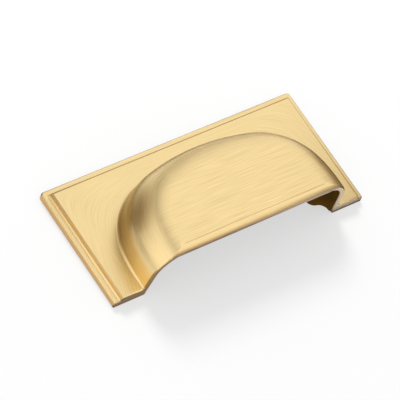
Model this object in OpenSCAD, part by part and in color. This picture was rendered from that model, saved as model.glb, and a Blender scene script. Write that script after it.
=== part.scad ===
// Drawer cup pull: a rectangular backplate with a D-shaped finger cup, cast in one piece.
// It lies on its back: X runs along the plate, Y towards the closed side of the cup, Z out of the plate.
// The origin is the centre of the plate's back face, and the cup opens at the plate's -Y edge.

/* [Backplate] */
// Length of the backplate
plate_w = 107; // [100:1:130]
// Height of the backplate, from the open edge to the far edge
plate_h = 47; // [44:0.5:60]
// Thickness of the low ledge round three sides
ledge_t = 2.6; // [2:0.1:3]
// Thickness of the raised field
field_t = 4.4; // [4.2:0.1:6]
// Width of the stepped border, from the plate's edge to the field
border_w = 2.5; // [1.8:0.1:4]
// Radius of the cove at the foot of the step
cove_r = 0.8; // [0.3:0.1:1.1]
// Radius of the plate's corners in plan
plate_corner_r = 1; // [0.5:0.1:3]
// Radius of the plate's rounded front edges
edge_r = 0.4; // [0.2:0.1:0.8]

/* [Cup outline] */
// Width of the cup where it meets the field
cup_w = 84; // [78:1:94]
// Reach of the cup over the plate, from the open edge to its closed side
cup_h = 37.3; // [36:0.1:41]
// Radius of the outline where the ends turn into the closed side
corner_r = 32; // [26:0.5:32]

/* [Cup section] */
// Projection of the cup's flat front from the back face
projection = 22; // [19:0.5:28]
// Inward lean of the cup's wall, in degrees
wall_draft = 5; // [2:0.5:9]
// Outer radius between the wall and the flat front
shoulder_r = 12; // [8:0.5:13]
// Thickness of the wall
wall_t = 1.8; // [1.4:0.1:2.4]
// Thickness of the flat front
front_t = 2.7; // [2:0.1:3.4]
// Radius of the blend at the foot of the wall
crease_r = 0.8; // [0.4:0.1:1.6]
// Radius of the rolled edge of the lip
lip_r = 3.3; // [2.6:0.1:3.4]
// Height of the lip's roll that the flat front cuts off, which leaves a fine line
lip_cut = 0.1; // [0.05:0.05:0.2]

/* [Fixing] */
// Distance between the two tapped holes
hole_spacing = 76; // [60:1:77]
// Distance of the holes from the open edge
hole_up = 8.3; // [6:0.1:14]
// Diameter of the bosses that carry the holes
boss_d = 7; // [6:0.5:9]
// Core diameter of the tapped holes
hole_d = 3.3; // [2.5:0.1:4.2]
// Depth of the tapped holes
hole_depth = 10; // [7:0.5:12]

/* [Hidden] */
$fn = 128;

// Overlap that lets two shapes share some volume, or a cut run past a face
overlap = 1;
brass = [0.93, 0.82, 0.56];

open_y = -plate_h / 2;
half_cup = cup_w / 2;
field_w = plate_w - 2 * border_w;
lean = tan(wall_draft);

// Centre of the outline's right-hand corner arc
corner_x = half_cup - corner_r;
corner_y = open_y + cup_h - corner_r;

// The hollow follows the outside, a wall and a front inwards.
hollow_inset = wall_t / cos(wall_draft);
hollow_top = projection - front_t;
hollow_r = shoulder_r - front_t;

// Distance from the outline to where the shoulder's radius ends and the flat front begins
function shoulder_inset(inset, top, radius) =
    inset + (top - radius - field_t) * lean + radius / cos(wall_draft);

// Section of the cup: a leaning wall, a round shoulder and a flat top. The outline is at x = 0,
// and the section ends at the corner arc's centre.
module wall_section(inset, top, radius, base) {
    centre = [-shoulder_inset(inset, top, radius), top - radius];
    tangent = centre + radius * [cos(wall_draft), sin(wall_draft)];
    polygon([
        [-corner_r, base],
        [-inset - (base - field_t) * lean, base],
        tangent,
        [centre.x, top],
        [-corner_r, top]
    ]);
    intersection() {
        translate(centre) circle(r = radius);
        translate(centre) square(radius);
    }
}

// Blend between the field and the foot of the leaning wall
module crease_section() {
    centre = [crease_r / cos(wall_draft) - crease_r * lean, field_t + crease_r];
    wall_tangent = centre - crease_r * [cos(wall_draft), sin(wall_draft)];
    difference() {
        polygon([
            [-overlap, 0],
            [centre.x, 0],
            [centre.x, field_t],
            wall_tangent,
            [-overlap, wall_tangent.y]
        ]);
        translate(centre) circle(r = crease_r);
    }
}

// The section given as child, swept along the open edge's ends, both corners and the closed side
module cup_sweep(base, top, run_past) {
    middle = corner_x + overlap;
    translate([0, corner_y, 0])
        rotate([90, 0, 0])
            linear_extrude(corner_y - open_y + run_past) {
                translate([half_cup, 0]) children();
                mirror([1, 0]) translate([half_cup, 0]) children();
                translate([-middle, base]) square([2 * middle, top - base]);
            }
    for (side = [0, 1])
        translate([(1 - 2 * side) * corner_x, corner_y, 0])
            rotate([0, 0, 90 * side])
                rotate_extrude(angle = 90)
                    translate([corner_r, 0]) children();
    translate([-corner_x, corner_y, 0])
        rotate([90, 0, 90])
            linear_extrude(2 * corner_x)
                translate([corner_r, 0]) children();
}

// Outside of the cup, down to the back face
module cup_outside() {
    cup_sweep(0, projection, 0) {
        union() {
            wall_section(0, projection, shoulder_r, 0);
            crease_section();
        }
    }
}

// Finger hollow, open at the back and at the lip
module finger_hollow() {
    cup_sweep(-overlap, hollow_top, overlap)
        wall_section(hollow_inset, hollow_top, hollow_r, -overlap);
}

// Ledge's section over a length, with the front corner at each rounded end
module ledge_section(low, high, round_low) {
    low_r = round_low ? edge_r : 0;
    translate([low, 0]) square([high - low, ledge_t - edge_r]);
    translate([low + low_r, 0]) square([high - low - low_r - edge_r, ledge_t]);
    translate([high - edge_r, ledge_t - edge_r]) circle(r = edge_r);
    if (round_low) translate([low + edge_r, ledge_t - edge_r]) circle(r = edge_r);
}

// Cove between the ledge and the field's edge, which is at x = 0
module cove_section() {
    difference() {
        translate([-overlap, -overlap]) square(cove_r + overlap);
        translate([cove_r, cove_r]) circle(r = cove_r);
    }
}

// Section along the plate's length: field in the middle, step and ledge at both ends
module plate_length_section() {
    ledge_section(-plate_w / 2, plate_w / 2, true);
    translate([-field_w / 2, 0]) square([field_w, field_t]);
    for (side = [0, 1]) mirror([side, 0])
        translate([field_w / 2, ledge_t]) cove_section();
}

// Section up the plate: the field runs out at the open edge, step and ledge at the far edge
module plate_height_section() {
    far_y = plate_h / 2;
    ledge_section(open_y, far_y, false);
    translate([open_y, 0]) square([plate_h - border_w, field_t - edge_r]);
    translate([open_y + edge_r, 0]) square([plate_h - border_w - edge_r, field_t]);
    translate([open_y + edge_r, field_t - edge_r]) circle(r = edge_r);
    translate([far_y - border_w, ledge_t]) cove_section();
}

// Plan of the plate with its rounded corners
module plate_plan() {
    square([plate_w - 2 * plate_corner_r, plate_h], center = true);
    square([plate_w, plate_h - 2 * plate_corner_r], center = true);
    for (x = [-1, 1], y = [-1, 1])
        translate([x * (plate_w / 2 - plate_corner_r), y * (plate_h / 2 - plate_corner_r)])
            circle(r = plate_corner_r);
}

// Backplate: two stepped sections that meet in mitred corners
module backplate() {
    intersection() {
        rotate([90, 0, 0])
            linear_extrude(plate_h, center = true) plate_length_section();
        rotate([90, 0, 90])
            linear_extrude(plate_w, center = true) plate_height_section();
        linear_extrude(field_t) plate_plan();
    }
}

// Bosses inside the cup's ends, up to its shoulder
module bosses() {
    intersection() {
        for (side = [-1, 1])
            translate([side * hole_spacing / 2, open_y + hole_up, 0])
                cylinder(d = boss_d, h = projection);
        cup_outside();
    }
}

// Tapped holes, open at the back face
module fixing_holes() {
    for (side = [-1, 1])
        translate([side * hole_spacing / 2, open_y + hole_up, -overlap])
            cylinder(d = hole_d, h = hole_depth + overlap);
}

// What the rolled edge takes off along the lip
module lip_cutter() {
    translate([0, open_y, projection])
        rotate([90, 0, 90])
            linear_extrude(cup_w, center = true)
                difference() {
                    translate([-overlap, lip_cut - lip_r]) square([lip_r + overlap, lip_r + overlap]);
                    translate([lip_r, lip_cut - lip_r]) circle(r = lip_r);
                }
}

// The cup pull, one casting
module cup_pull() {
    color(brass)
        difference() {
            union() {
                difference() {
                    union() {
                        backplate();
                        cup_outside();
                    }
                    finger_hollow();
                }
                bosses();
            }
            lip_cutter();
            fixing_holes();
        }
}

cup_pull();
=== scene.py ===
"""Satin brass cup pull: a backplate with a stepped border and a D-shaped finger cup, one casting.

The casting is modelled in millimetres in the frame of the CAD part: X along the plate, Y towards
the closed side of the cup and Z out of the plate. It is then scaled to metres and dressed in brass.
"""

from __future__ import annotations

import logging
import math
from dataclasses import dataclass
from enum import Enum
from typing import Callable

import bmesh
import bpy
from mathutils import Matrix, Vector

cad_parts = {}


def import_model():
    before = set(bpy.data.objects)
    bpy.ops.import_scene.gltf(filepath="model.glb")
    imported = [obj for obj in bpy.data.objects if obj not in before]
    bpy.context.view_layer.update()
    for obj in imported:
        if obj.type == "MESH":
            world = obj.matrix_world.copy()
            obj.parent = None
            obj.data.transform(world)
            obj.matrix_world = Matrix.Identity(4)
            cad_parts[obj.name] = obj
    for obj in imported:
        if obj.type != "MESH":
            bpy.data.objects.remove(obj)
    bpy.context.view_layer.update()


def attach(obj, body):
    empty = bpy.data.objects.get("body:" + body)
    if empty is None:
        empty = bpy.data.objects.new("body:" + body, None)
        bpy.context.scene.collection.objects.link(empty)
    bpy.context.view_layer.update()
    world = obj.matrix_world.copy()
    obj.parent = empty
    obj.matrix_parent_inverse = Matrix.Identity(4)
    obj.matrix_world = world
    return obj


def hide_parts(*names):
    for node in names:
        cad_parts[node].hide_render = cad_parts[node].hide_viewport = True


log = logging.getLogger("cup_pull")

MM = 0.001
BRUSH_MAP = "brush"
# Lengths that differ by less are the same, and points that lie closer are one.
SLACK = 1e-3
DOUBLED = 1e-4
# Faces that meet at a greater angle, in degrees, make a sharp edge.
SHARP = 35.0
Point = tuple[float, float, float]
Colour = tuple[float, float, float]
Socket = bpy.types.NodeSocket
Inputs = dict[str | int, object]


class Cut(Enum):
    """The ways that one solid changes another."""

    JOIN = "UNION"
    REMOVE = "DIFFERENCE"


class Finish(Enum):
    """How each surface of the casting was worked, in the order of the material slots; the darker
    colours of the edges, ground faces, hollow and the cup's foot also hold painted shade.
    """

    CUP = 0
    FIELD = 1
    EDGE = 2
    GROUND = 3
    CAST = 4

    @property
    def material_name(self) -> str:
        """Name of the material for this finish."""
        return f"brass_{self.name.lower()}"


class Kind(Enum):
    """What is picked in edit mode, by the mesh's own word for it."""

    VERT = "verts"
    EDGE = "edges"
    FACE = "faces"


@dataclass(frozen=True)
class Round:
    """A round edge or wall: its radius and the number of flat steps that make it up."""

    r: float
    steps: int


class Workpiece:
    """One mesh object and the hand operations that shape it, in millimetres."""

    def __init__(self, name: str, scale: Point = (1.0, 1.0, 1.0)) -> None:
        """Takes over the object that was just added, with one material slot for each finish.

        Args:
            name: Name of the object.
            scale: How much it grows along each axis.
        """
        self.obj = bpy.context.object
        self.obj.name = name
        self.obj.scale = scale
        bpy.ops.object.transform_apply(location=True, rotation=True, scale=True)
        for finish in Finish:
            self.obj.data.materials.append(bpy.data.materials.get(finish.material_name))

    @classmethod
    def box(cls, name: str, low: Point, high: Point) -> Workpiece:
        """Adds a box between two corners.

        Args:
            name: Name of the object.
            low: Lowest corner.
            high: Highest corner.

        Returns:
            The new workpiece.
        """
        bpy.ops.object.select_all(action="DESELECT")
        centre = [(a + b) / 2 for a, b in zip(low, high)]
        bpy.ops.mesh.primitive_cube_add(size=1, location=centre)
        return cls(name, tuple(b - a for a, b in zip(low, high)))

    @classmethod
    def cylinder(cls, name: str, shape: Round, low: Point, height: float) -> Workpiece:
        """Adds an upright cylinder.

        Args:
            name: Name of the object.
            shape: Its radius and number of flat sides.
            low: Centre of its lower end.
            height: Its height.

        Returns:
            The new workpiece.
        """
        bpy.ops.object.select_all(action="DESELECT")
        centre = (low[0], low[1], low[2] + height / 2)
        bpy.ops.mesh.primitive_cylinder_add(
            radius=shape.r, depth=height, vertices=shape.steps, location=centre
        )
        return cls(name)

    @classmethod
    def point(cls, name: str, place: Point) -> Workpiece:
        """Adds a plane and merges it to one point, from which a section is drawn in edit mode.

        Args:
            name: Name of the object.
            place: Where the point is.

        Returns:
            The new workpiece, in edit mode with the point selected.
        """
        bpy.ops.object.select_all(action="DESELECT")
        bpy.ops.mesh.primitive_plane_add(size=1, location=place)
        piece = cls(name)
        piece.edit()
        bpy.ops.mesh.select_mode(type="VERT")
        bpy.ops.mesh.select_all(action="SELECT")
        bpy.ops.mesh.merge(type="CENTER")
        return piece

    def edit(self) -> None:
        """Makes this the only selected object and opens it in edit mode."""
        bpy.ops.object.select_all(action="DESELECT")
        self.obj.select_set(True)
        bpy.context.view_layer.objects.active = self.obj
        bpy.ops.object.mode_set(mode="EDIT")

    def leave(self) -> None:
        """Goes back to object mode."""
        bpy.ops.object.mode_set(mode="OBJECT")

    def work(self, finish: Finish, test: Callable[[bpy.types.MeshPolygon], bool]) -> None:
        """Marks faces as worked to a finish, in object mode.

        Args:
            finish: The finish they get.
            test: Says of one face whether it gets the finish.
        """
        for face in self.obj.data.polygons:
            if test(face):
                face.material_index = finish.value

    def select(self, kind: Kind, test: Callable[..., bool]) -> int:
        """Selects the points, edges or faces that pass a test, in edit mode.

        Args:
            kind: What is selected.
            test: Says of one of them whether it is wanted.

        Returns:
            The number selected.
        """
        bpy.ops.mesh.select_mode(type=kind.name)
        bpy.ops.mesh.select_all(action="DESELECT")
        work = bmesh.from_edit_mesh(self.obj.data)
        work.normal_update()
        wanted = [part for part in getattr(work, kind.value) if test(part)]
        for part in wanted:
            part.select_set(True)
        if kind is Kind.VERT:
            work.select_flush(True)
        bmesh.update_edit_mesh(self.obj.data)
        return len(wanted)

    def extrude(self, offset: Point) -> None:
        """Extrudes what is selected by an offset."""
        bpy.ops.mesh.extrude_region_move(TRANSFORM_OT_translate={"value": offset})

    def spin(self, centre: Point, axis: Point, degrees: float, steps: int) -> None:
        """Sweeps what is selected round an axis.

        Args:
            centre: A point on the axis.
            axis: Direction of the axis; the turn is right-handed about it.
            degrees: How far it turns.
            steps: Number of steps.
        """
        # The operator turns left-handed about its axis.
        bpy.ops.mesh.spin(steps=steps, angle=-math.radians(degrees), center=centre, axis=axis)

    def bevel(self, edge: Round) -> None:
        """Rounds the selected edges."""
        bpy.ops.mesh.bevel(
            offset=edge.r,
            offset_type="OFFSET",
            segments=edge.steps,
            affect="EDGES",
            clamp_overlap=False,
        )

    def round_off(self, edge: Round, finish: Finish) -> None:
        """Rounds the selected edges and works the rounds to a finish, back in object mode.

        Args:
            edge: The round they get.
            finish: The finish of the rounds.
        """
        self.bevel(edge)
        self.leave()
        self.work(finish, lambda f: f.select)

    def raise_section(self, offset: Point) -> None:
        """Fills the section that was drawn and extrudes it to a solid, back in object mode.

        Args:
            offset: How far it is extruded along each axis.
        """
        bpy.ops.mesh.select_all(action="SELECT")
        bpy.ops.mesh.edge_face_add()
        bpy.ops.mesh.select_all(action="SELECT")
        self.extrude(offset)
        self.close()
        self.leave()

    def close(self) -> None:
        """Merges doubled points, fills what is open and turns every face outwards, in edit mode."""
        bpy.ops.mesh.select_mode(type="VERT")
        bpy.ops.mesh.select_all(action="SELECT")
        bpy.ops.mesh.remove_doubles(threshold=DOUBLED)
        bpy.ops.mesh.select_all(action="SELECT")
        bpy.ops.mesh.fill_holes(sides=0)
        bpy.ops.mesh.select_all(action="SELECT")
        bpy.ops.mesh.normals_make_consistent(inside=False)

    def cut(self, way: Cut, tool: Workpiece) -> None:
        """Joins another solid to this one or removes it from this one, and throws the other away.

        Args:
            way: What happens to this solid.
            tool: The other solid.
        """
        bpy.ops.object.select_all(action="DESELECT")
        bpy.context.view_layer.objects.active = self.obj
        self.obj.select_set(True)
        change = self.obj.modifiers.new(way.name.lower(), "BOOLEAN")
        change.operation = way.value
        change.solver = "EXACT"
        change.object = tool.obj
        bpy.ops.object.modifier_apply(modifier=change.name)
        bpy.data.objects.remove(tool.obj, do_unlink=True)


def near(a: float, b: float, slack: float = SLACK) -> bool:
    """Tells whether two lengths are the same, within a slack."""
    return abs(a - b) < slack


def is_sharp(edge: bmesh.types.BMEdge) -> bool:
    """Tells whether the faces at an edge meet sharply."""
    return len(edge.link_faces) == 2 and edge.calc_face_angle() > math.radians(SHARP)


@dataclass(frozen=True)
class Sector:
    """One arc of the cup's outline, from one direction of the outward normal to another."""

    centre: tuple[float, float]
    radius: float
    start: float
    end: float


@dataclass(frozen=True)
class CupOutline:
    """Line on the field where the cup's wall would meet it: straight ends and arcs between them."""

    half_width: float = 42.0
    reach: float = 37.58
    run: float = 4.0
    turn_start: float = 10.92
    turn_end: float = 75.44
    turn_radius: float = 27.15

    def sectors(self, open_y: float) -> list[Sector]:
        """Finds the arcs, tangent to each other, from the right-hand end round to the left.

        Args:
            open_y: Where the open edge is.

        Returns:
            The arcs in order.
        """
        a, b = math.radians(self.turn_start), math.radians(self.turn_end)
        r = self.turn_radius
        up = self.reach - self.run - r * (math.sin(b) - math.sin(a))
        across = self.half_width - r * (math.cos(a) - math.cos(b))
        # The end arc and the closed side's arc make up what the turn leaves of both lengths.
        d = math.sin(a) * math.cos(b) - (1 - math.sin(b)) * (1 - math.cos(a))
        end_r = (up * math.cos(b) - (1 - math.sin(b)) * across) / d
        side_r = (math.sin(a) * across - (1 - math.cos(a)) * up) / d
        start_y = open_y + self.run
        end_c = (self.half_width - end_r, start_y)
        turn_c = (end_c[0] + (end_r - r) * math.cos(a), end_c[1] + (end_r - r) * math.sin(a))
        side_c = (0.0, open_y + self.reach - side_r)
        right = [
            Sector(end_c, end_r, 0.0, self.turn_start),
            Sector(turn_c, r, self.turn_start, self.turn_end),
        ]
        middle = Sector(side_c, side_r, self.turn_end, 180.0 - self.turn_end)
        left = [
            Sector((-s.centre[0], s.centre[1]), s.radius, 180.0 - s.end, 180.0 - s.start)
            for s in reversed(right)
        ]
        return [*right, middle, *left]

    @property
    def length(self) -> float:
        """Length of the whole outline."""
        arcs = (math.radians(s.end - s.start) * s.radius for s in self.sectors(0.0))
        return 2.0 * self.run + sum(arcs)

    def along(self, x: float, y: float, open_y: float) -> tuple[float, float]:
        """Finds where a place lies beside the outline.

        Args:
            x: Place along the plate.
            y: Place up the plate.
            open_y: Where the open edge is.

        Returns:
            The length along the outline from its right-hand end, and the distance inwards from it.
        """
        sectors = self.sectors(open_y)
        if y <= open_y + self.run and x > 0:
            return y - open_y, self.half_width - x
        length = self.run
        for arc in sectors:
            angle = math.degrees(math.atan2(y - arc.centre[1], x - arc.centre[0]))
            if y > open_y + self.run and arc.start - 1e-6 <= angle <= arc.end + 1e-6:
                reach = math.hypot(x - arc.centre[0], y - arc.centre[1])
                return length + math.radians(angle - arc.start) * arc.radius, arc.radius - reach
            length += math.radians(arc.end - arc.start) * arc.radius
        return length + open_y + self.run - y, self.half_width + x


@dataclass(frozen=True)
class CupSection:
    """Section across the cup: a leaning wall, a round shoulder and the edge of a flat top."""

    inset: float
    top: float
    shoulder_r: float
    draft: float
    zero_z: float

    def wall_inset(self, z: float) -> float:
        """Gives the distance from the outline to the wall at a height."""
        return self.inset + (z - self.zero_z) * math.tan(math.radians(self.draft))

    def shoulder_centre(self) -> tuple[float, float]:
        """Gives the inset and height of the shoulder's centre."""
        z = self.top - self.shoulder_r
        return self.wall_inset(z) + self.shoulder_r / math.cos(math.radians(self.draft)), z


@dataclass
class CupPull:
    """The casting: backplate, cup, hollow, bosses and tapped holes."""

    # Backplate
    plate_w: float = 107.0
    plate_h: float = 47.0
    ledge_t: float = 2.6
    field_t: float = 4.4
    border_w: float = 2.3
    cove: Round = Round(0.8, 6)
    corner: Round = Round(1.0, 6)
    edge: Round = Round(0.4, 4)
    field_edge: Round = Round(0.8, 8)
    back_edge: Round = Round(0.15, 2)
    # Cup; lip_face is the slope in degrees from which the lip's roll is ground
    outline: CupOutline = CupOutline()
    projection: float = 22.0
    draft: float = 5.0
    shoulder: Round = Round(12.0, 20)
    sweep_step: float = 1.9
    sweep_least: int = 4
    wall_t: float = 2.1
    front_t: float = 2.7
    crease: Round = Round(0.8, 6)
    rim: Round = Round(1.2, 5)
    lip: Round = Round(3.3, 20)
    lip_cut: float = 0.1
    lip_face: float = 57.0
    lip_line: Round = Round(0.12, 1)
    lip_lead: float = 0.03
    # Broken edges of the open side
    inner_break: Round = Round(0.45, 3)
    outer_break: Round = Round(0.85, 5)
    back_break: Round = Round(0.6, 4)
    # Fixing
    hole_spacing: float = 76.0
    hole_up: float = 8.3
    boss: Round = Round(3.5, 48)
    boss_blend: Round = Round(3.6, 48)
    hole: Round = Round(1.65, 32)
    hole_depth: float = 10.0
    thread_r: float = 2.0
    thread_pitch: float = 0.7
    countersink: float = 0.15
    drill_lean: float = 31.0
    # How far the plate and the cup run past the open edge before they are trimmed, how far a tool
    # runs past what it cuts, and the angle up to which the shading is smooth
    run_past: float = 6.0
    overlap: float = 1.0
    smooth: float = 28.0

    @property
    def open_y(self) -> float:
        """Place of the open edge."""
        return -self.plate_h / 2

    @property
    def outside(self) -> CupSection:
        """Section of the cup's outside."""
        return CupSection(0.0, self.projection, self.shoulder.r, self.draft, self.field_t)

    @property
    def inside(self) -> CupSection:
        """Section of the finger hollow, a wall and a front inside the outside."""
        return CupSection(
            self.wall_t / math.cos(math.radians(self.draft)),
            self.projection - self.front_t,
            self.shoulder.r - self.front_t,
            self.draft,
            self.field_t,
        )

    def build(self) -> bpy.types.Object:
        """Models the whole casting.

        Returns:
            The finished mesh object, in metres.
        """
        body = self.ledge()
        body.cut(Cut.JOIN, self.raised_field())
        past = self.run_past
        cup = self.swept_cup("cup", self.outside, self.overlap, past, Finish.CUP)
        body.cut(Cut.JOIN, cup)
        self.blend_crease(body)
        drop = 2.0 * self.overlap
        # The hollow gets the CAST colour, deep partly as an unfinished casting and partly as
        # painted shade.
        hollow = self.swept_cup("hollow", self.inside, -drop, past + drop, Finish.CAST, self.rim)
        for side in (-1, 1):
            hollow.cut(Cut.REMOVE, self.boss_tool(side))
        body.cut(Cut.REMOVE, hollow)
        self.trim_open_edge(body)
        self.round_outer_edge(body)
        body.cut(Cut.REMOVE, self.lip_roll())
        self.score_lip(body)
        for side in (-1, 1):
            body.cut(Cut.REMOVE, self.tapped_hole(side))
        self.break_edges(body)
        self.map_brushing(body)
        self.finish_mesh(body)
        return body.obj

    def ledge(self) -> Workpiece:
        """Makes the low plate with rounded corners, running past the open edge.

        Returns:
            The plate, with its faces worked.
        """
        half_w, far_y = self.plate_w / 2, self.plate_h / 2
        plate = Workpiece.box(
            "cup_pull_dressed",
            (-half_w, self.open_y - self.run_past, 0.0),
            (half_w, far_y, self.ledge_t),
        )
        plate.edit()
        plate.select(
            Kind.EDGE,
            lambda e: near(e.verts[0].co.x, e.verts[1].co.x)
            and all(near(v.co.y, far_y) for v in e.verts),
        )
        plate.bevel(self.corner)
        plate.select(Kind.EDGE, lambda e: all(near(v.co.z, self.ledge_t) for v in e.verts))
        plate.bevel(self.edge)
        plate.select(
            Kind.EDGE, lambda e: all(near(v.co.z, 0.0) for v in e.verts) and is_sharp(e)
        )
        plate.bevel(self.back_edge)
        plate.leave()
        flat = 0.5
        plate.work(Finish.FIELD, lambda f: f.normal.z > flat)
        # The upright sides get the EDGE colour, whose darker, warmer tone is painted shade.
        plate.work(Finish.EDGE, lambda f: abs(f.normal.z) <= flat)
        plate.work(Finish.GROUND, lambda f: f.normal.z < -flat)
        return plate

    def raised_field(self) -> Workpiece:
        """Makes the raised field with the cove round its foot, by insets from a plain box.

        Returns:
            The field, which runs past the open edge too.
        """
        sink, flat = 0.05, 0.95
        cove_r, edge_r = self.cove.r, self.field_edge.r
        skirt_x = self.plate_w / 2 - self.border_w + cove_r
        skirt_y = self.plate_h / 2 - self.border_w + cove_r
        top = self.ledge_t - sink
        raised = Workpiece.box(
            "field",
            (-skirt_x, self.open_y - self.run_past + self.overlap, self.ledge_t / 2),
            (skirt_x, skirt_y, top),
        )
        cove = [
            (cove_r * math.sin(t), cove_r * (1 - math.cos(t)) + sink)
            for t in (math.radians(90 * i / self.cove.steps) for i in range(1, self.cove.steps + 1))
        ]
        rise = self.field_t - self.ledge_t - edge_r + sink
        steps = self.field_edge.steps
        edge = [
            (cove_r + edge_r * (1 - math.cos(t)), rise + edge_r * math.sin(t))
            for t in (math.radians(90 * i / steps) for i in range(steps + 1))
        ]
        raised.edit()
        raised.select(
            Kind.FACE, lambda f: f.normal.z > flat and near(f.calc_center_median().z, top)
        )
        at = (0.0, 0.0)
        for point in [*cove, *edge]:
            inward, upward = point[0] - at[0], point[1] - at[1]
            if inward < SLACK * SLACK:
                raised.extrude((0.0, 0.0, upward))
            else:
                bpy.ops.mesh.inset(thickness=inward, depth=upward, use_even_offset=True)
            at = point
        raised.leave()
        raised.work(Finish.FIELD, lambda f: True)
        # The step's wall and the round above it get the darker EDGE colour: painted shade of the
        # step.
        step_z = self.ledge_t + cove_r - SLACK
        raised.work(Finish.EDGE, lambda f: f.center.z > step_z and f.normal.z < flat)
        return raised

    def swept_cup(
        self,
        name: str,
        section: CupSection,
        base: float,
        past: float,
        finish: Finish,
        rim: Round | None = None,
    ) -> Workpiece:
        """Sweeps a section along the cup's outline and closes it to a solid.

        Args:
            name: Name of the object.
            section: The section that is swept.
            base: Height of its lower end.
            past: How far it runs past the open edge.
            finish: How its surface is worked.
            rim: Round by which it widens at the back face, so that it leaves a rounded rim.

        Returns:
            The closed solid.
        """
        lean = math.radians(section.draft)
        start_y = self.open_y - past
        inset_c, z_c = section.shoulder_centre()
        centre = (self.outline.half_width - inset_c, start_y, z_c)
        flare = rim.r if rim else 0.0
        wall_z = flare or base
        wall_x = self.outline.half_width - section.wall_inset(wall_z)
        tangent = (
            centre[0] + section.shoulder_r * math.cos(lean),
            z_c + section.shoulder_r * math.sin(lean),
        )
        cup = Workpiece.point(name, (wall_x + flare, start_y, base))
        if rim:
            cup.extrude((0.0, 0.0, -base))
            cup.spin((wall_x + flare, start_y, flare), (0, 1, 0), 90.0, rim.steps)
        cup.extrude((tangent[0] - wall_x, 0.0, tangent[1] - wall_z))
        cup.spin(centre, (0, -1, 0), 90.0 - section.draft, self.shoulder.steps)
        bpy.ops.mesh.select_all(action="SELECT")
        cup.extrude((0.0, past + self.outline.run, 0.0))
        for arc in self.outline.sectors(self.open_y):
            turn = arc.end - arc.start
            steps = max(self.sweep_least, round(turn / self.sweep_step))
            cup.spin((*arc.centre, 0.0), (0, 0, 1), turn, steps)
        cup.extrude((0.0, -past - self.outline.run, 0.0))
        for z in (section.top, base):
            cup.select(Kind.VERT, lambda v: near(v.co.z, z) and near(v.co.y, start_y))
            bpy.ops.mesh.edge_face_add()
            cup.select(Kind.VERT, lambda v: near(v.co.z, z))
            bpy.ops.mesh.edge_face_add()
        cup.close()
        cup.leave()
        cup.work(finish, lambda f: True)
        return cup

    def blend_crease(self, body: Workpiece) -> None:
        """Rounds the hollow corner where the cup's wall stands on the field.

        Args:
            body: The casting so far.
        """
        body.edit()
        count = body.select(
            Kind.EDGE,
            lambda e: all(near(v.co.z, self.field_t) for v in e.verts)
            and is_sharp(e)
            and not e.is_convex,
        )
        log.info("crease: %d edges blended", count)
        body.round_off(self.crease, Finish.FIELD)

    def boss_tool(self, side: int) -> Workpiece:
        """Makes the round boss for a tapped hole, with a blend to the wall beside it.

        Args:
            side: -1 for the left-hand end and 1 for the right-hand one.

        Returns:
            The boss, running past the hollow at both ends.
        """
        x, y = self.hole_spacing / 2, self.open_y + self.hole_up
        low = -3.0 * self.overlap
        height = self.projection - 2.0 * low
        boss = Workpiece.cylinder("boss", self.boss, (side * x, y, low), height)
        wall_x = self.outline.half_width - self.inside.wall_inset(0.0)
        blend_r = self.boss_blend.r
        blend_x = wall_x - blend_r
        blend_y = math.sqrt((self.boss.r + blend_r) ** 2 - (x - blend_x) ** 2)
        tangent_x = x - (x - blend_x) * self.boss.r / (self.boss.r + blend_r)
        ends = sorted((side * tangent_x, side * (wall_x + self.wall_t)))
        web = Workpiece.box(
            "boss_web", (ends[0], y - blend_y, low), (ends[1], y + blend_y, low + height)
        )
        for way in (-1, 1):
            place = (side * blend_x, y + way * blend_y, low - self.overlap)
            past = height + 2.0 * self.overlap
            web.cut(
                Cut.REMOVE, Workpiece.cylinder("boss_blend", self.boss_blend, place, past)
            )
        boss.cut(Cut.JOIN, web)
        # The rim's round fades out on a slope between the open edge and the blend.
        slope_y, hair = y - blend_y, 0.02
        start = (side * (wall_x + hair), slope_y + self.overlap, low)
        slope = Workpiece.point("slope", start)
        slope.extrude((0.0, -self.overlap, 0.0))
        slope.extrude((side * self.rim.r, self.open_y - slope_y, 0.0))
        slope.extrude((0.0, slope_y + self.overlap - self.open_y, 0.0))
        slope.raise_section((0.0, 0.0, height))
        boss.cut(Cut.JOIN, slope)
        boss.work(Finish.CAST, lambda f: True)
        return boss

    def trim_open_edge(self, body: Workpiece) -> None:
        """Cuts the plate and the cup off flush at the open edge.

        Args:
            body: The casting so far.
        """
        body.edit()
        bpy.ops.mesh.select_all(action="SELECT")
        bpy.ops.mesh.bisect(
            plane_co=(0.0, self.open_y, 0.0),
            plane_no=(0.0, -1.0, 0.0),
            use_fill=True,
            clear_outer=True,
        )
        body.leave()
        square = 0.99
        # The open side's faces get the GROUND colour, partly their duller finish and partly painted
        # shade of the floor below them.
        body.work(
            Finish.GROUND, lambda f: f.normal.y < -square and near(f.center.y, self.open_y)
        )

    def round_outer_edge(self, body: Workpiece) -> None:
        """Rounds the outer edge of the open side, over the field, the wall and the shoulder.

        Args:
            body: The casting so far.
        """
        outer = (Finish.CUP.value, Finish.FIELD.value)
        low_z = self.field_t - 10.0 * SLACK
        body.edit()
        count = body.select(
            Kind.EDGE,
            lambda e: all(near(v.co.y, self.open_y) and v.co.z > low_z for v in e.verts)
            and is_sharp(e)
            and any(f.material_index in outer for f in e.link_faces),
        )
        body.round_off(self.outer_break, Finish.CUP)
        log.info("outer edge: %d edges rounded", count)

    def lip_roll(self) -> Workpiece:
        """Makes what the rolled edge takes off along the lip, with the roll's steep part ground.

        Returns:
            The solid that is removed.
        """
        lip_r, past = self.lip.r, self.overlap
        half = self.outline.half_width + past
        centre_z = self.projection + self.lip_cut - lip_r
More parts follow.
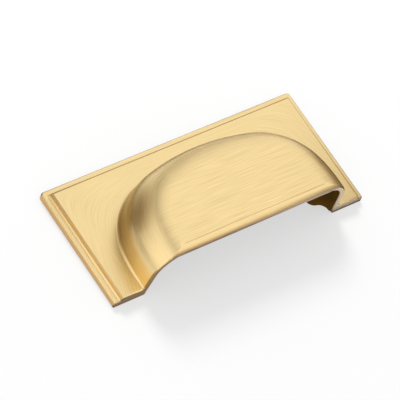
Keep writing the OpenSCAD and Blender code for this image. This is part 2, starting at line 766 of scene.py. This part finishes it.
        # It starts a hair in front of the open edge, so that it meets the edge at an angle.
        start_y = self.open_y - self.lip_lead
        roll = Workpiece.point("lip_roll", (-half, start_y, centre_z))
        roll.spin((-half, start_y + lip_r, centre_z), (1, 0, 0), -90.0, self.lip.steps)
        roll.extrude((0.0, 0.0, past))
        roll.extrude((0.0, -lip_r - past, 0.0))
        roll.extrude((0.0, 0.0, -lip_r - past))
        roll.raise_section((2.0 * half, 0.0, 0.0))
        steep = math.sin(math.radians(self.lip_face))
        roll.work(Finish.CUP, lambda f: True)
        roll.work(Finish.GROUND, lambda f: f.normal.y > steep and f.normal.z < -SLACK)
        return roll

    def score_lip(self, body: Workpiece) -> None:
        """Leaves a narrow darker line where the rolled edge meets the flat front.

        Args:
            body: The casting so far.
        """
        lip_r, slack = self.lip.r, 50.0 * SLACK
        rise = (lip_r - self.lip_cut) / lip_r
        line_y = self.open_y + lip_r * (1.0 - math.sqrt(1.0 - rise * rise))
        body.edit()
        body.select(
            Kind.EDGE,
            lambda e: all(
                near(v.co.y, line_y, slack) and near(v.co.z, self.projection) for v in e.verts
            ),
        )
        # The line takes the darker EDGE colour, painted shade along the edge.
        body.round_off(self.lip_line, Finish.EDGE)

    def tapped_hole(self, side: int) -> Workpiece:
        """Turns the shape of a tapped hole: countersunk mouth, thread grooves and drilled tip.

        Args:
            side: -1 for the left-hand end and 1 for the right-hand one.

        Returns:
            The solid that is removed.
        """
        x, y = side * self.hole_spacing / 2, self.open_y + self.hole_up
        hole_r, drop = self.hole.r, self.overlap
        mouth = self.thread_r + self.countersink
        hole = Workpiece.point("tapped_hole", (x, y, -drop))
        hole.extrude((mouth, 0.0, 0.0))
        hole.extrude((0.0, 0.0, drop))
        depth = mouth - hole_r
        hole.extrude((-depth, 0.0, depth))
        groove = self.thread_r - hole_r
        turns = int((self.hole_depth - depth) / self.thread_pitch)
        for _ in range(turns):
            hole.extrude((groove, 0.0, self.thread_pitch / 2))
            hole.extrude((-groove, 0.0, self.thread_pitch / 2))
        hole.extrude((-hole_r, 0.0, hole_r * math.tan(math.radians(self.drill_lean))))
        bpy.ops.mesh.select_all(action="SELECT")
        hole.spin((x, y, 0.0), (0, 0, 1), 360.0, self.hole.steps)
        hole.close()
        hole.leave()
        hole.work(Finish.GROUND, lambda f: True)
        return hole

    def break_edges(self, body: Workpiece) -> None:
        """Rounds the sharp edges that are left on the open side, the back one most.

        Args:
            body: The casting so far.
        """
        body.edit()
        count = body.select(
            Kind.EDGE,
            lambda e: all(near(v.co.y, self.open_y) and near(v.co.z, 0.0) for v in e.verts),
        )
        body.bevel(self.back_break)
        # What lies above the back round and up to the lip's roll
        low_z, slack = 0.5, 0.1
        count += body.select(
            Kind.EDGE,
            lambda e: all(near(v.co.y, self.open_y, slack) and v.co.z > low_z for v in e.verts)
            and is_sharp(e),
        )
        body.round_off(self.inner_break, Finish.GROUND)
        body.edit()
        # Where two rounds run into each other a few points may stand proud: they are pressed flush.
        body.select(Kind.VERT, lambda v: v.co.y < self.open_y)
        bpy.ops.transform.resize(value=(1.0, 0.0, 1.0), center_override=(0.0, self.open_y, 0.0))
        body.leave()
        log.info("open edge: %d edges rounded", count)

    def map_brushing(self, body: Workpiece) -> None:
        """Lays out the brush map, in metres: U runs along the brush lines and V across them.

        Args:
            body: The casting so far.
        """
        mesh = body.obj.data
        layer = mesh.uv_layers.new(name=BRUSH_MAP)
        for face in mesh.polygons:
            finish = Finish(face.material_index)
            for corner in face.loop_indices:
                x, y, z = mesh.vertices[mesh.loops[corner].vertex_index].co
                if finish in (Finish.FIELD, Finish.CUP):
                    length, inward = self.outline.along(x, y, self.open_y)
                    place = (length, inward + z)
                elif finish is Finish.EDGE:
                    place = (x + y, z)
                else:
                    place = (x, y + z)
                layer.uv[corner].vector = (place[0] * MM, place[1] * MM)

    def finish_mesh(self, body: Workpiece) -> None:
        """Merges doubled points, scales to metres and smooths the shading.

        Args:
            body: The casting so far.
        """
        body.edit()
        bpy.ops.mesh.select_all(action="SELECT")
        bpy.ops.mesh.remove_doubles(threshold=DOUBLED)
        bpy.ops.mesh.select_all(action="SELECT")
        bpy.ops.transform.resize(value=(MM, MM, MM), center_override=(0.0, 0.0, 0.0))
        body.leave()
        bpy.ops.object.shade_smooth_by_angle(angle=math.radians(self.smooth))
        weighted = body.obj.modifiers.new("weighted", "WEIGHTED_NORMAL")
        weighted.keep_sharp = True
        bpy.ops.object.modifier_apply(modifier=weighted.name)


class Bench:
    """The nodes of a material or the world, and short ways to add and join them."""

    def __init__(
        self, owner: bpy.types.Material | bpy.types.World, shader: str = "Principled BSDF"
    ) -> None:
        """Takes over a new material or world with its one shader.

        Args:
            owner: The material or the world.
            shader: Name of the shader node that it starts with.
        """
        self.owner = owner
        self.owner.use_nodes = True
        self.tree = owner.node_tree
        self.shader = self.tree.nodes[shader]

    def feed(self, node: bpy.types.Node, inputs: Inputs) -> None:
        """Sets or links a node's inputs.

        Args:
            node: The node.
            inputs: A value or another node's output for each input, by name or number.
        """
        for name, value in inputs.items():
            if isinstance(value, Socket):
                self.tree.links.new(value, node.inputs[name])
            else:
                node.inputs[name].default_value = value

    def add(self, kind: str, inputs: Inputs | None = None, **settings: object) -> bpy.types.Node:
        """Adds a node.

        Args:
            kind: Type of the node.
            inputs: A value or another node's output for its inputs, by name or number.
            settings: Values of its properties, by name.

        Returns:
            The node.
        """
        node = self.tree.nodes.new(kind)
        for name, value in settings.items():
            setattr(node, name, value)
        self.feed(node, inputs or {})
        return node

    def noise(self, place: Socket, scale: Point, detail: float, flat: bool) -> Socket:
        """Adds noise whose grain has its own size along each axis.

        Args:
            place: Coordinates in metres.
            scale: Grains for each metre along each axis.
            detail: Number of finer layers.
            flat: Whether the coordinates are a map's two numbers.

        Returns:
            The noise, about 0.5 on average.
        """
        mapping = self.add("ShaderNodeMapping", {"Vector": place, "Scale": scale})
        grain = {"Scale": 1.0, "Detail": detail, "Roughness": 0.6}
        node = self.add(
            "ShaderNodeTexNoise",
            {"Vector": mapping.outputs["Vector"], **grain},
            noise_dimensions="2D" if flat else "3D",
        )
        return node.outputs["Fac"]

    def span(self, value: Socket, low: float, high: float, spread: float = 0.22) -> Socket:
        """Stretches noise to lie between two numbers.

        Args:
            value: The noise.
            low: Number for its dark side.
            high: Number for its bright side.
            spread: How far from 0.5 the noise reaches either number.

        Returns:
            The stretched value.
        """
        ends = {"From Min": 0.5 - spread, "From Max": 0.5 + spread, "To Min": low, "To Max": high}
        return self.add("ShaderNodeMapRange", {"Value": value, **ends}).outputs["Result"]

    def ramp(self, value: Socket, low: float, high: float) -> Socket:
        """Goes smoothly from 0 to 1 between two numbers.

        Args:
            value: What it goes by.
            low: Number at which it is 0.
            high: Number at which it is 1, above or below the other.

        Returns:
            A value from 0 to 1.
        """
        ends = {"Value": value, "From Min": low, "From Max": high}
        node = self.add("ShaderNodeMapRange", ends, interpolation_type="SMOOTHSTEP")
        return node.outputs["Result"]

    def math(self, way: str, *values: Socket | float) -> Socket:
        """Combines values by an operation."""
        return self.add("ShaderNodeMath", dict(enumerate(values)), operation=way).outputs["Value"]

    def between(self, fac: Socket | float, a: Socket, b: Socket) -> Socket:
        """Goes from one value at 0 to another at 1."""
        ends = {"Factor": fac, "A": a, "B": b}
        return self.add("ShaderNodeMix", ends, data_type="FLOAT").outputs["Result"]

    def blend(self, fac: Socket, low: Colour, high: Colour) -> Socket:
        """Goes from one colour at 0 to another at 1."""
        ends = {"Factor": fac, "A": (*low, 1.0), "B": (*high, 1.0)}
        return self.add("ShaderNodeMix", ends, data_type="RGBA").outputs["Result"]

    def metal(self, colour: Socket, rough: Socket, height: Socket, depth: float) -> None:
        """Makes the shader a metal whose surface has a relief.

        Args:
            colour: Colour of the metal.
            rough: Its roughness.
            height: The relief, from 0 to 1.
            depth: Depth of the relief, in millimetres.
        """
        relief = {"Strength": 1.0, "Distance": depth * MM, "Height": height}
        normal = self.add("ShaderNodeBump", relief).outputs["Normal"]
        self.feed(
            self.shader,
            {"Base Color": colour, "Roughness": rough, "Normal": normal, "Metallic": 1.0},
        )

    def cover(self, fac: Socket, under: Socket, glow: Colour) -> None:
        """Lays an even glow over a surface and makes that the material's surface.

        Args:
            fac: How much the glow covers.
            under: The surface below it.
            glow: The glow's colour.
        """
        light = self.add("ShaderNodeEmission", {"Color": (*glow, 1.0)}).outputs["Emission"]
        mix = self.add("ShaderNodeMixShader", {0: fac, 1: under, 2: light}).outputs["Shader"]
        self.feed(self.tree.nodes["Material Output"], {"Surface": mix})


def toned(colour: Colour, share: float) -> Colour:
    """Makes a colour lighter or darker by a share of itself."""
    return tuple(min(1.0, part * (1.0 + share)) for part in colour)


@dataclass(frozen=True)
class BrushedBrass:
    """Brass worked with an abrasive belt: fine lines along U of the brush map."""

    finish: Finish
    base: Colour
    roughness: float = 0.37
    line_length: float = 14.0
    line_width: float = 0.3
    line_tone: float = 0.1
    broad_share: float = 0.15
    broad_length: float = 1.5
    broad_width: float = 3.0
    line_depth: float = 0.006
    rough_spread: float = 0.06
    patch_size: float = 18.0
    patch_tone: float = 0.01

    def lines(self, bench: Bench, brush: Socket) -> Socket:
        """Adds the brush lines, fine ones over broad ones.

        Args:
            bench: The material's nodes.
            brush: Coordinates along and across the lines, in metres.

        Returns:
            The height of the lines, about 0.5 on average.
        """
        along, across = 1.0 / (self.line_length * MM), 1.0 / (self.line_width * MM)
        fine = bench.noise(brush, (along, across, 1.0), 1.0, True)
        broad_scale = (along / self.broad_length, across / self.broad_width, 1.0)
        broad = bench.noise(brush, broad_scale, 1.0, True)
        return bench.between(self.broad_share, fine, broad)

    def height(self, bench: Bench) -> Socket:
        """Adds the pattern that the belt left.

        Args:
            bench: The material's nodes.

        Returns:
            The height of the pattern, about 0.5 on average.
        """
        return self.lines(bench, bench.add("ShaderNodeUVMap", uv_map=BRUSH_MAP).outputs["UV"])

    def depth(self, bench: Bench, colour: Socket) -> Socket:
        """Paints shade into the colour: none on an open surface."""
        return colour

    def material(self) -> bpy.types.Material:
        """Makes the material.

        Returns:
            The node material.
        """
        bench = Bench(bpy.data.materials.new(self.finish.material_name))
        place = bench.add("ShaderNodeTexCoord").outputs["Object"]
        grain = 1.0 / (self.patch_size * MM)
        patch = bench.noise(place, (grain, grain, grain), 2.0, False)
        lines = self.height(bench)
        tone = bench.math(
            "ADD",
            bench.span(lines, -self.line_tone, self.line_tone),
            bench.span(patch, -self.patch_tone, self.patch_tone),
        )
        reach = self.line_tone + self.patch_tone
        level = bench.math("MULTIPLY_ADD", tone, 0.5 / reach, 0.5)
        colour = bench.blend(level, toned(self.base, -reach), toned(self.base, reach))
        rough = bench.span(
            lines, self.roughness - self.rough_spread, self.roughness + self.rough_spread
        )
        bench.metal(self.depth(bench, colour), rough, lines, self.line_depth)
        return bench.owner


@dataclass(frozen=True)
class CupBrass(BrushedBrass):
    """Brushed brass of the cup: lines along the plate on its front and round it on its wall.

    Its colour is darkened towards the foot of the wall, a painted shade of the crease where the
    wall meets the plate.
    """

    turn_low: float = 20.6
    turn_high: float = 21.95
    # Heights above the back face and lengths along the outline, in millimetres, of the painted
    # shade at the wall's foot, and its colour factor
    foot: float = 4.5
    clear: float = 17.0
    end_near: float = 0.0
    end_far: float = 14.0
    outline_length: float = 130.0
    painted_foot_shade: float = 0.6

    def rise(self, bench: Bench, low: float, high: float) -> Socket:
        """Goes smoothly from 0 to 1 between two heights above the back face.

        Args:
            bench: The material's nodes.
            low: Height at which it is 0, in millimetres.
            high: Height at which it is 1, above or below the other.

        Returns:
            A value from 0 to 1.
        """
        place = bench.add("ShaderNodeTexCoord").outputs["Object"]
        height = bench.add("ShaderNodeSeparateXYZ", {"Vector": place}).outputs["Z"]
        return bench.ramp(height, low * MM, high * MM)

    def height(self, bench: Bench) -> Socket:
        """Adds the lines along the plate and the lines round the cup, one over into the other.

        Args:
            bench: The material's nodes.

        Returns:
            The height of the pattern, about 0.5 on average.
        """
        place = bench.add("ShaderNodeTexCoord").outputs["Object"]
        front = self.lines(bench, place)
        around = super().height(bench)
        turn = self.rise(bench, self.turn_low, self.turn_high)
        return bench.between(turn, around, front)

    def depth(self, bench: Bench, colour: Socket) -> Socket:
        """Paints shade into the colour towards the foot of the wall, less so at its open ends.

        Args:
            bench: The material's nodes.
            colour: The colour of the brushed metal.

        Returns:
            The colour with its painted shade.
        """
        low = self.rise(bench, self.clear, self.foot)
        brush = bench.add("ShaderNodeUVMap", uv_map=BRUSH_MAP).outputs["UV"]
        along = bench.add("ShaderNodeSeparateXYZ", {"Vector": brush}).outputs["X"]
        near_end, far_end = self.end_near * MM, self.end_far * MM
        length = self.outline_length * MM
        right = bench.ramp(along, near_end, far_end)
        left = bench.ramp(along, length - near_end, length - far_end)
        fac = bench.math("MULTIPLY", bench.math("MULTIPLY", low, right), left)
        ends = {"Factor": fac, "A": colour, "B": (self.painted_foot_shade, self.painted_foot_shade, self.painted_foot_shade, 1.0)}
        mix = bench.add("ShaderNodeMix", ends, data_type="RGBA", blend_type="MULTIPLY")
        return mix.outputs["Result"]


@dataclass(frozen=True)
class CastBrass:
    """Brass as it left the mould: dull and faintly grainy, darkened partly by painted shade of the
    hollow.
    """

    finish: Finish
    base: Colour
    stain: Colour
    sheen: Colour = (0.9, 0.6, 0.25)
    roughness: float = 0.5
    rough_spread: float = 0.1
    grain_size: float = 0.8
    grain_depth: float = 0.03
    patch_size: float = 4.0

    def material(self) -> bpy.types.Material:
        """Makes the material.

        Returns:
            The node material.
        """
        bench = Bench(bpy.data.materials.new(self.finish.material_name))
        place = bench.add("ShaderNodeTexCoord").outputs["Object"]
        patch_scale, grain_scale = 1.0 / (self.patch_size * MM), 1.0 / (self.grain_size * MM)
        patch = bench.noise(place, (patch_scale,) * 3, 4.0, False)
        grain = bench.noise(place, (grain_scale,) * 3, 3.0, False)
        colour = bench.blend(bench.span(patch, 0.0, 1.0), self.stain, self.base)
        rough = bench.span(
            grain, self.roughness - self.rough_spread, self.roughness + self.rough_spread
        )
        bench.metal(colour, rough, grain, self.grain_depth)
        bench.shader.inputs["Specular Tint"].default_value = (*self.sheen, 1.0)
        return bench.owner


@dataclass(frozen=True)
class Dress:
    """The finishes of the whole casting."""

    satin: Colour = (0.92, 0.70, 0.35)
    # Darker, warmer colour of the sides, the step and the lip line: painted shade.
    side: Colour = (0.66, 0.42, 0.175)
    # Duller grey of the ground faces: partly their finish, partly painted shade of the shadowed
    # floor they face.
    ground: Colour = (0.68, 0.55, 0.41)
    # Deep brown of the hollow: partly the unfinished casting, partly painted shade of the hollow.
    hollow: Colour = (0.12, 0.064, 0.013)
    stain: Colour = (0.078, 0.045, 0.017)

    def build(self) -> None:
        """Makes one material for each finish."""
        looks = [
            CupBrass(Finish.CUP, self.satin, outline_length=CupOutline().length),
            BrushedBrass(Finish.FIELD, self.satin, roughness=0.33, line_depth=0.0035),
            BrushedBrass(Finish.EDGE, self.side, line_length=6.0),
            BrushedBrass(Finish.GROUND, self.ground, roughness=0.42, line_length=5.0),
            CastBrass(Finish.CAST, self.hollow, self.stain),
        ]
        for look in looks:
            look.material()


class Stand(Enum):
    """How a card stands, as turns in degrees: lying flat, or upright and facing Y or X."""

    FLAT = (0.0, 0.0, 0.0)
    ACROSS = (90.0, 0.0, 0.0)
    ALONG = (90.0, 0.0, 90.0)


@dataclass(frozen=True)
class Card:
    """A dim card that only the metal's reflections see, with one or more soft edges: painted shade
    in those reflections, standing for the floor's shadows and dim surroundings.
    """

    name: str
    stand: Stand
    centre: Point
    size: tuple[float, float]
    level: Colour
    soft: tuple[float, float, float, float]

    def build(self) -> None:
        """Adds the card, from sizes in millimetres."""
        bpy.ops.object.select_all(action="DESELECT")
        bpy.ops.mesh.primitive_plane_add(
            size=1.0,
            location=[part * MM for part in self.centre],
            rotation=[math.radians(part) for part in self.stand.value],
        )
        card = bpy.context.object
        card.name = self.name
        card.scale = (self.size[0] * MM, self.size[1] * MM, 1.0)
        bpy.ops.object.transform_apply(location=True, rotation=True, scale=True)
        card.data.materials.append(self.material())
        card.visible_camera = False
        card.visible_diffuse = False
        card.visible_shadow = False
        card.visible_transmission = False

    def material(self) -> bpy.types.Material:
        """Makes the card's colour, which fades out towards its soft edges.

        Returns:
            The node material.
        """
        bench = Bench(bpy.data.materials.new(self.name))
        place = bench.add("ShaderNodeTexCoord").outputs["UV"]
        split = bench.add("ShaderNodeSeparateXYZ", {"Vector": place}).outputs
        cover = None
        for i, width in enumerate(self.soft):
            if not width:
                continue
            far = i % 2
            fade = bench.ramp(split[i // 2], float(far), 1.0 - width if far else width)
            cover = bench.math("MULTIPLY", cover, fade) if cover else fade
        bench.cover(cover, bench.add("ShaderNodeBsdfTransparent").outputs["BSDF"], self.level)
        return bench.owner


@dataclass(frozen=True)
class Studio:
    """Floor, soft light and the camera at the photograph's angle."""

    camera_place: Point = (-0.62985, -0.38528, 0.95588)
    lens: float = 319.29
    floor_size: float = 6.0
    floor_colour: Colour = (0.6, 0.6, 0.6)
    floor_glow: float = 0.58
    # Cards that paint shade into the metal's reflections only
    cards: tuple[Card, ...] = (
        Card(
            "back_card", Stand.ACROSS, (-104, 75, 95), (228, 190),
            (0.19, 0.13, 0.065), (0.48, 0.3, 0.0, 0.85),
        ),
        Card(
            "left_sheet", Stand.FLAT, (-135, 72, 0.5), (250, 84),
            (0.12, 0.085, 0.045), (0.3, 0.25, 0.0, 0.2),
        ),
        Card(
            "left_near", Stand.FLAT, (-105, 12, 0.4), (90, 44),
            (0.2, 0.15, 0.08), (0.3, 0.3, 0.5, 0.0),
        ),
        Card(
            "back_low", Stand.ACROSS, (70, 75, 9), (160, 18),
            (0.34, 0.25, 0.13), (0.2, 0.2, 0.0, 0.4),
        ),
        Card(
            "back_sheet", Stand.FLAT, (-5, 35, 0.5), (260, 22),
            (0.04, 0.03, 0.02), (0.1, 0.1, 0.0, 0.6),
        ),
        Card(
            "right_card", Stand.ALONG, (120, -5, 30), (150, 60),
            (0.23, 0.16, 0.075), (0.1, 0.4, 0.0, 0.4),
        ),
        Card(
            "right_sheet", Stand.FLAT, (92, -5, 0.6), (75, 110),
            (0.08, 0.06, 0.04), (0.0, 0.1, 0.1, 0.3),
        ),
        Card(
            "right_high", Stand.FLAT, (115, -5, 83), (76, 110),
            (0.4, 0.33, 0.24), (0.5, 0.2, 0.1, 0.55),
        ),
        Card(
            "front_sheet", Stand.FLAT, (-32, -51.6, 0.3), (155, 56),
            (0.28, 0.22, 0.16), (0.1, 0.25, 0.6, 0.0),
        ),
        Card(
            "front_wide", Stand.FLAT, (30, -105, 0.2), (240, 90),
            (0.5, 0.4, 0.28), (0.15, 0.15, 0.4, 0.0),
        ),
        Card(
            "front_far", Stand.ACROSS, (60, -172, 35), (340, 70),
            (0.62, 0.47, 0.28), (0.2, 0.2, 0.0, 0.5),
        ),
        Card(
            "front_gap", Stand.FLAT, (0, -24.2, 0.1), (110, 3),
            (0.03, 0.02, 0.01), (0.0, 0.0, 0.7, 0.0),
        ),
        Card(
            "front_right", Stand.FLAT, (88, -52, 0.3), (70, 50),
            (0.1, 0.08, 0.05), (0.3, 0.2, 0.1, 0.2),
        ),
        Card(
            "front_low", Stand.ACROSS, (140, -100, 45), (160, 90),
            (0.1, 0.08, 0.05), (0.3, 0.2, 0.0, 0.4),
        ),
    )
    seam: Point = (0.892, -0.286, 0.350)
    tent: tuple[tuple[float, float], ...] = (
        (0.0, 1.2),
        (0.36, 1.22),
        (0.478, 1.08),
        (0.516, 0.22),
        (0.543, 0.38),
        (0.62, 0.78),
        (0.71, 0.99),
        (1.0, 1.12),
    )
    lamp_place: Point = (0.32, 1.67, 1.55)
    lamp_size: float = 0.85
    lamp_power: float = 55.0

    def camera(self) -> None:
        """Adds the camera."""
        right = Vector((0.78682453, -0.53909215, 0.30047763))
        down = Vector((-0.33092857, -0.77946924, -0.5318966))
        ahead = Vector((0.52095435, 0.31907266, -0.79170651))
        data = bpy.data.cameras.new("camera")
        data.lens = self.lens
        data.sensor_width = 36.0
        data.clip_start = 0.05
        obj = bpy.data.objects.new("camera", data)
        bpy.context.scene.collection.objects.link(obj)
        turn = Matrix((right, -down, -ahead)).transposed()
        obj.matrix_world = Matrix.Translation(self.camera_place) @ turn.to_4x4()
        bpy.context.scene.camera = obj

    def floor(self) -> None:
        """Adds the pale floor."""
        bpy.ops.object.select_all(action="DESELECT")
        bpy.ops.mesh.primitive_plane_add(size=self.floor_size)
        floor = bpy.context.object
        floor.name = "floor"
        bench = Bench(bpy.data.materials.new("floor"))
        white = (*self.floor_colour, 1.0)
        dull = {"Base Color": white, "Roughness": 1.0, "Specular IOR Level": 0.0}
        bench.feed(bench.shader, dull)
        # Part of the floor's white is its own, so that the shadow on it stays pale.
        path = bench.add("ShaderNodeLightPath").outputs
        seen = bench.math("MAXIMUM", path["Is Camera Ray"], path["Is Glossy Ray"])
        seen = bench.math("MAXIMUM", seen, path["Is Transmission Ray"])
        share = bench.math("MULTIPLY", seen, self.floor_glow)
        bench.cover(share, bench.shader.outputs["BSDF"], (1.0, 1.0, 1.0))
        floor.data.materials.append(bench.owner)

    def light(self) -> None:
        """Lights the scene with a white tent that has one soft seam, and a lamp for the shadow."""
        bench = Bench(bpy.data.worlds.new("studio"), "Background")
        bpy.context.scene.world = bench.owner
        place = bench.add("ShaderNodeTexCoord").outputs["Generated"]
        side = bench.add("ShaderNodeVectorMath", {0: place, 1: self.seam}, operation="DOT_PRODUCT")
        whole = {"Value": side.outputs["Value"], "From Min": -1.0}
        share = bench.add("ShaderNodeMapRange", whole).outputs["Result"]
        ramp = bench.add("ShaderNodeValToRGB", {"Fac": share})
        stops = ramp.color_ramp.elements
        ramp.color_ramp.interpolation = "EASE"
        for stop in list(stops)[1:]:
            stops.remove(stop)
        for i, (at, level) in enumerate(self.tent):
            stop = stops[0] if i == 0 else stops.new(at)
            stop.position = at
            stop.color = (level, level, level, 1.0)
        white = (1.0, 1.0, 1.0, 1.0)
        bench.feed(bench.shader, {"Color": white, "Strength": ramp.outputs["Color"]})
        lamp = bpy.data.lights.new("shadow_lamp", "AREA")
        lamp.shape = "DISK"
        lamp.size = self.lamp_size
        lamp.energy = self.lamp_power
        obj = bpy.data.objects.new("shadow_lamp", lamp)
        bpy.context.scene.collection.objects.link(obj)
        obj.location = self.lamp_place
        obj.rotation_euler = (-Vector(self.lamp_place)).to_track_quat("-Z", "Y").to_euler()
        obj.visible_glossy = False

    def build(self) -> None:
        """Sets up the whole studio."""
        self.camera()
        self.floor()
        for card in self.cards:
            card.build()
        self.light()
        bpy.context.scene.view_settings.view_transform = "Standard"


def main() -> None:
    """Builds the dressed casting in its studio."""
    logging.basicConfig(level=logging.INFO, format="%(name)s: %(message)s")
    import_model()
    Studio().build()
    Dress().build()
    pull = CupPull().build()
    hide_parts("cup_pull")
    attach(pull, "root")
    log.info("casting: %d points, %d faces", len(pull.data.vertices), len(pull.data.polygons))


if __name__ == "__main__":
    main()
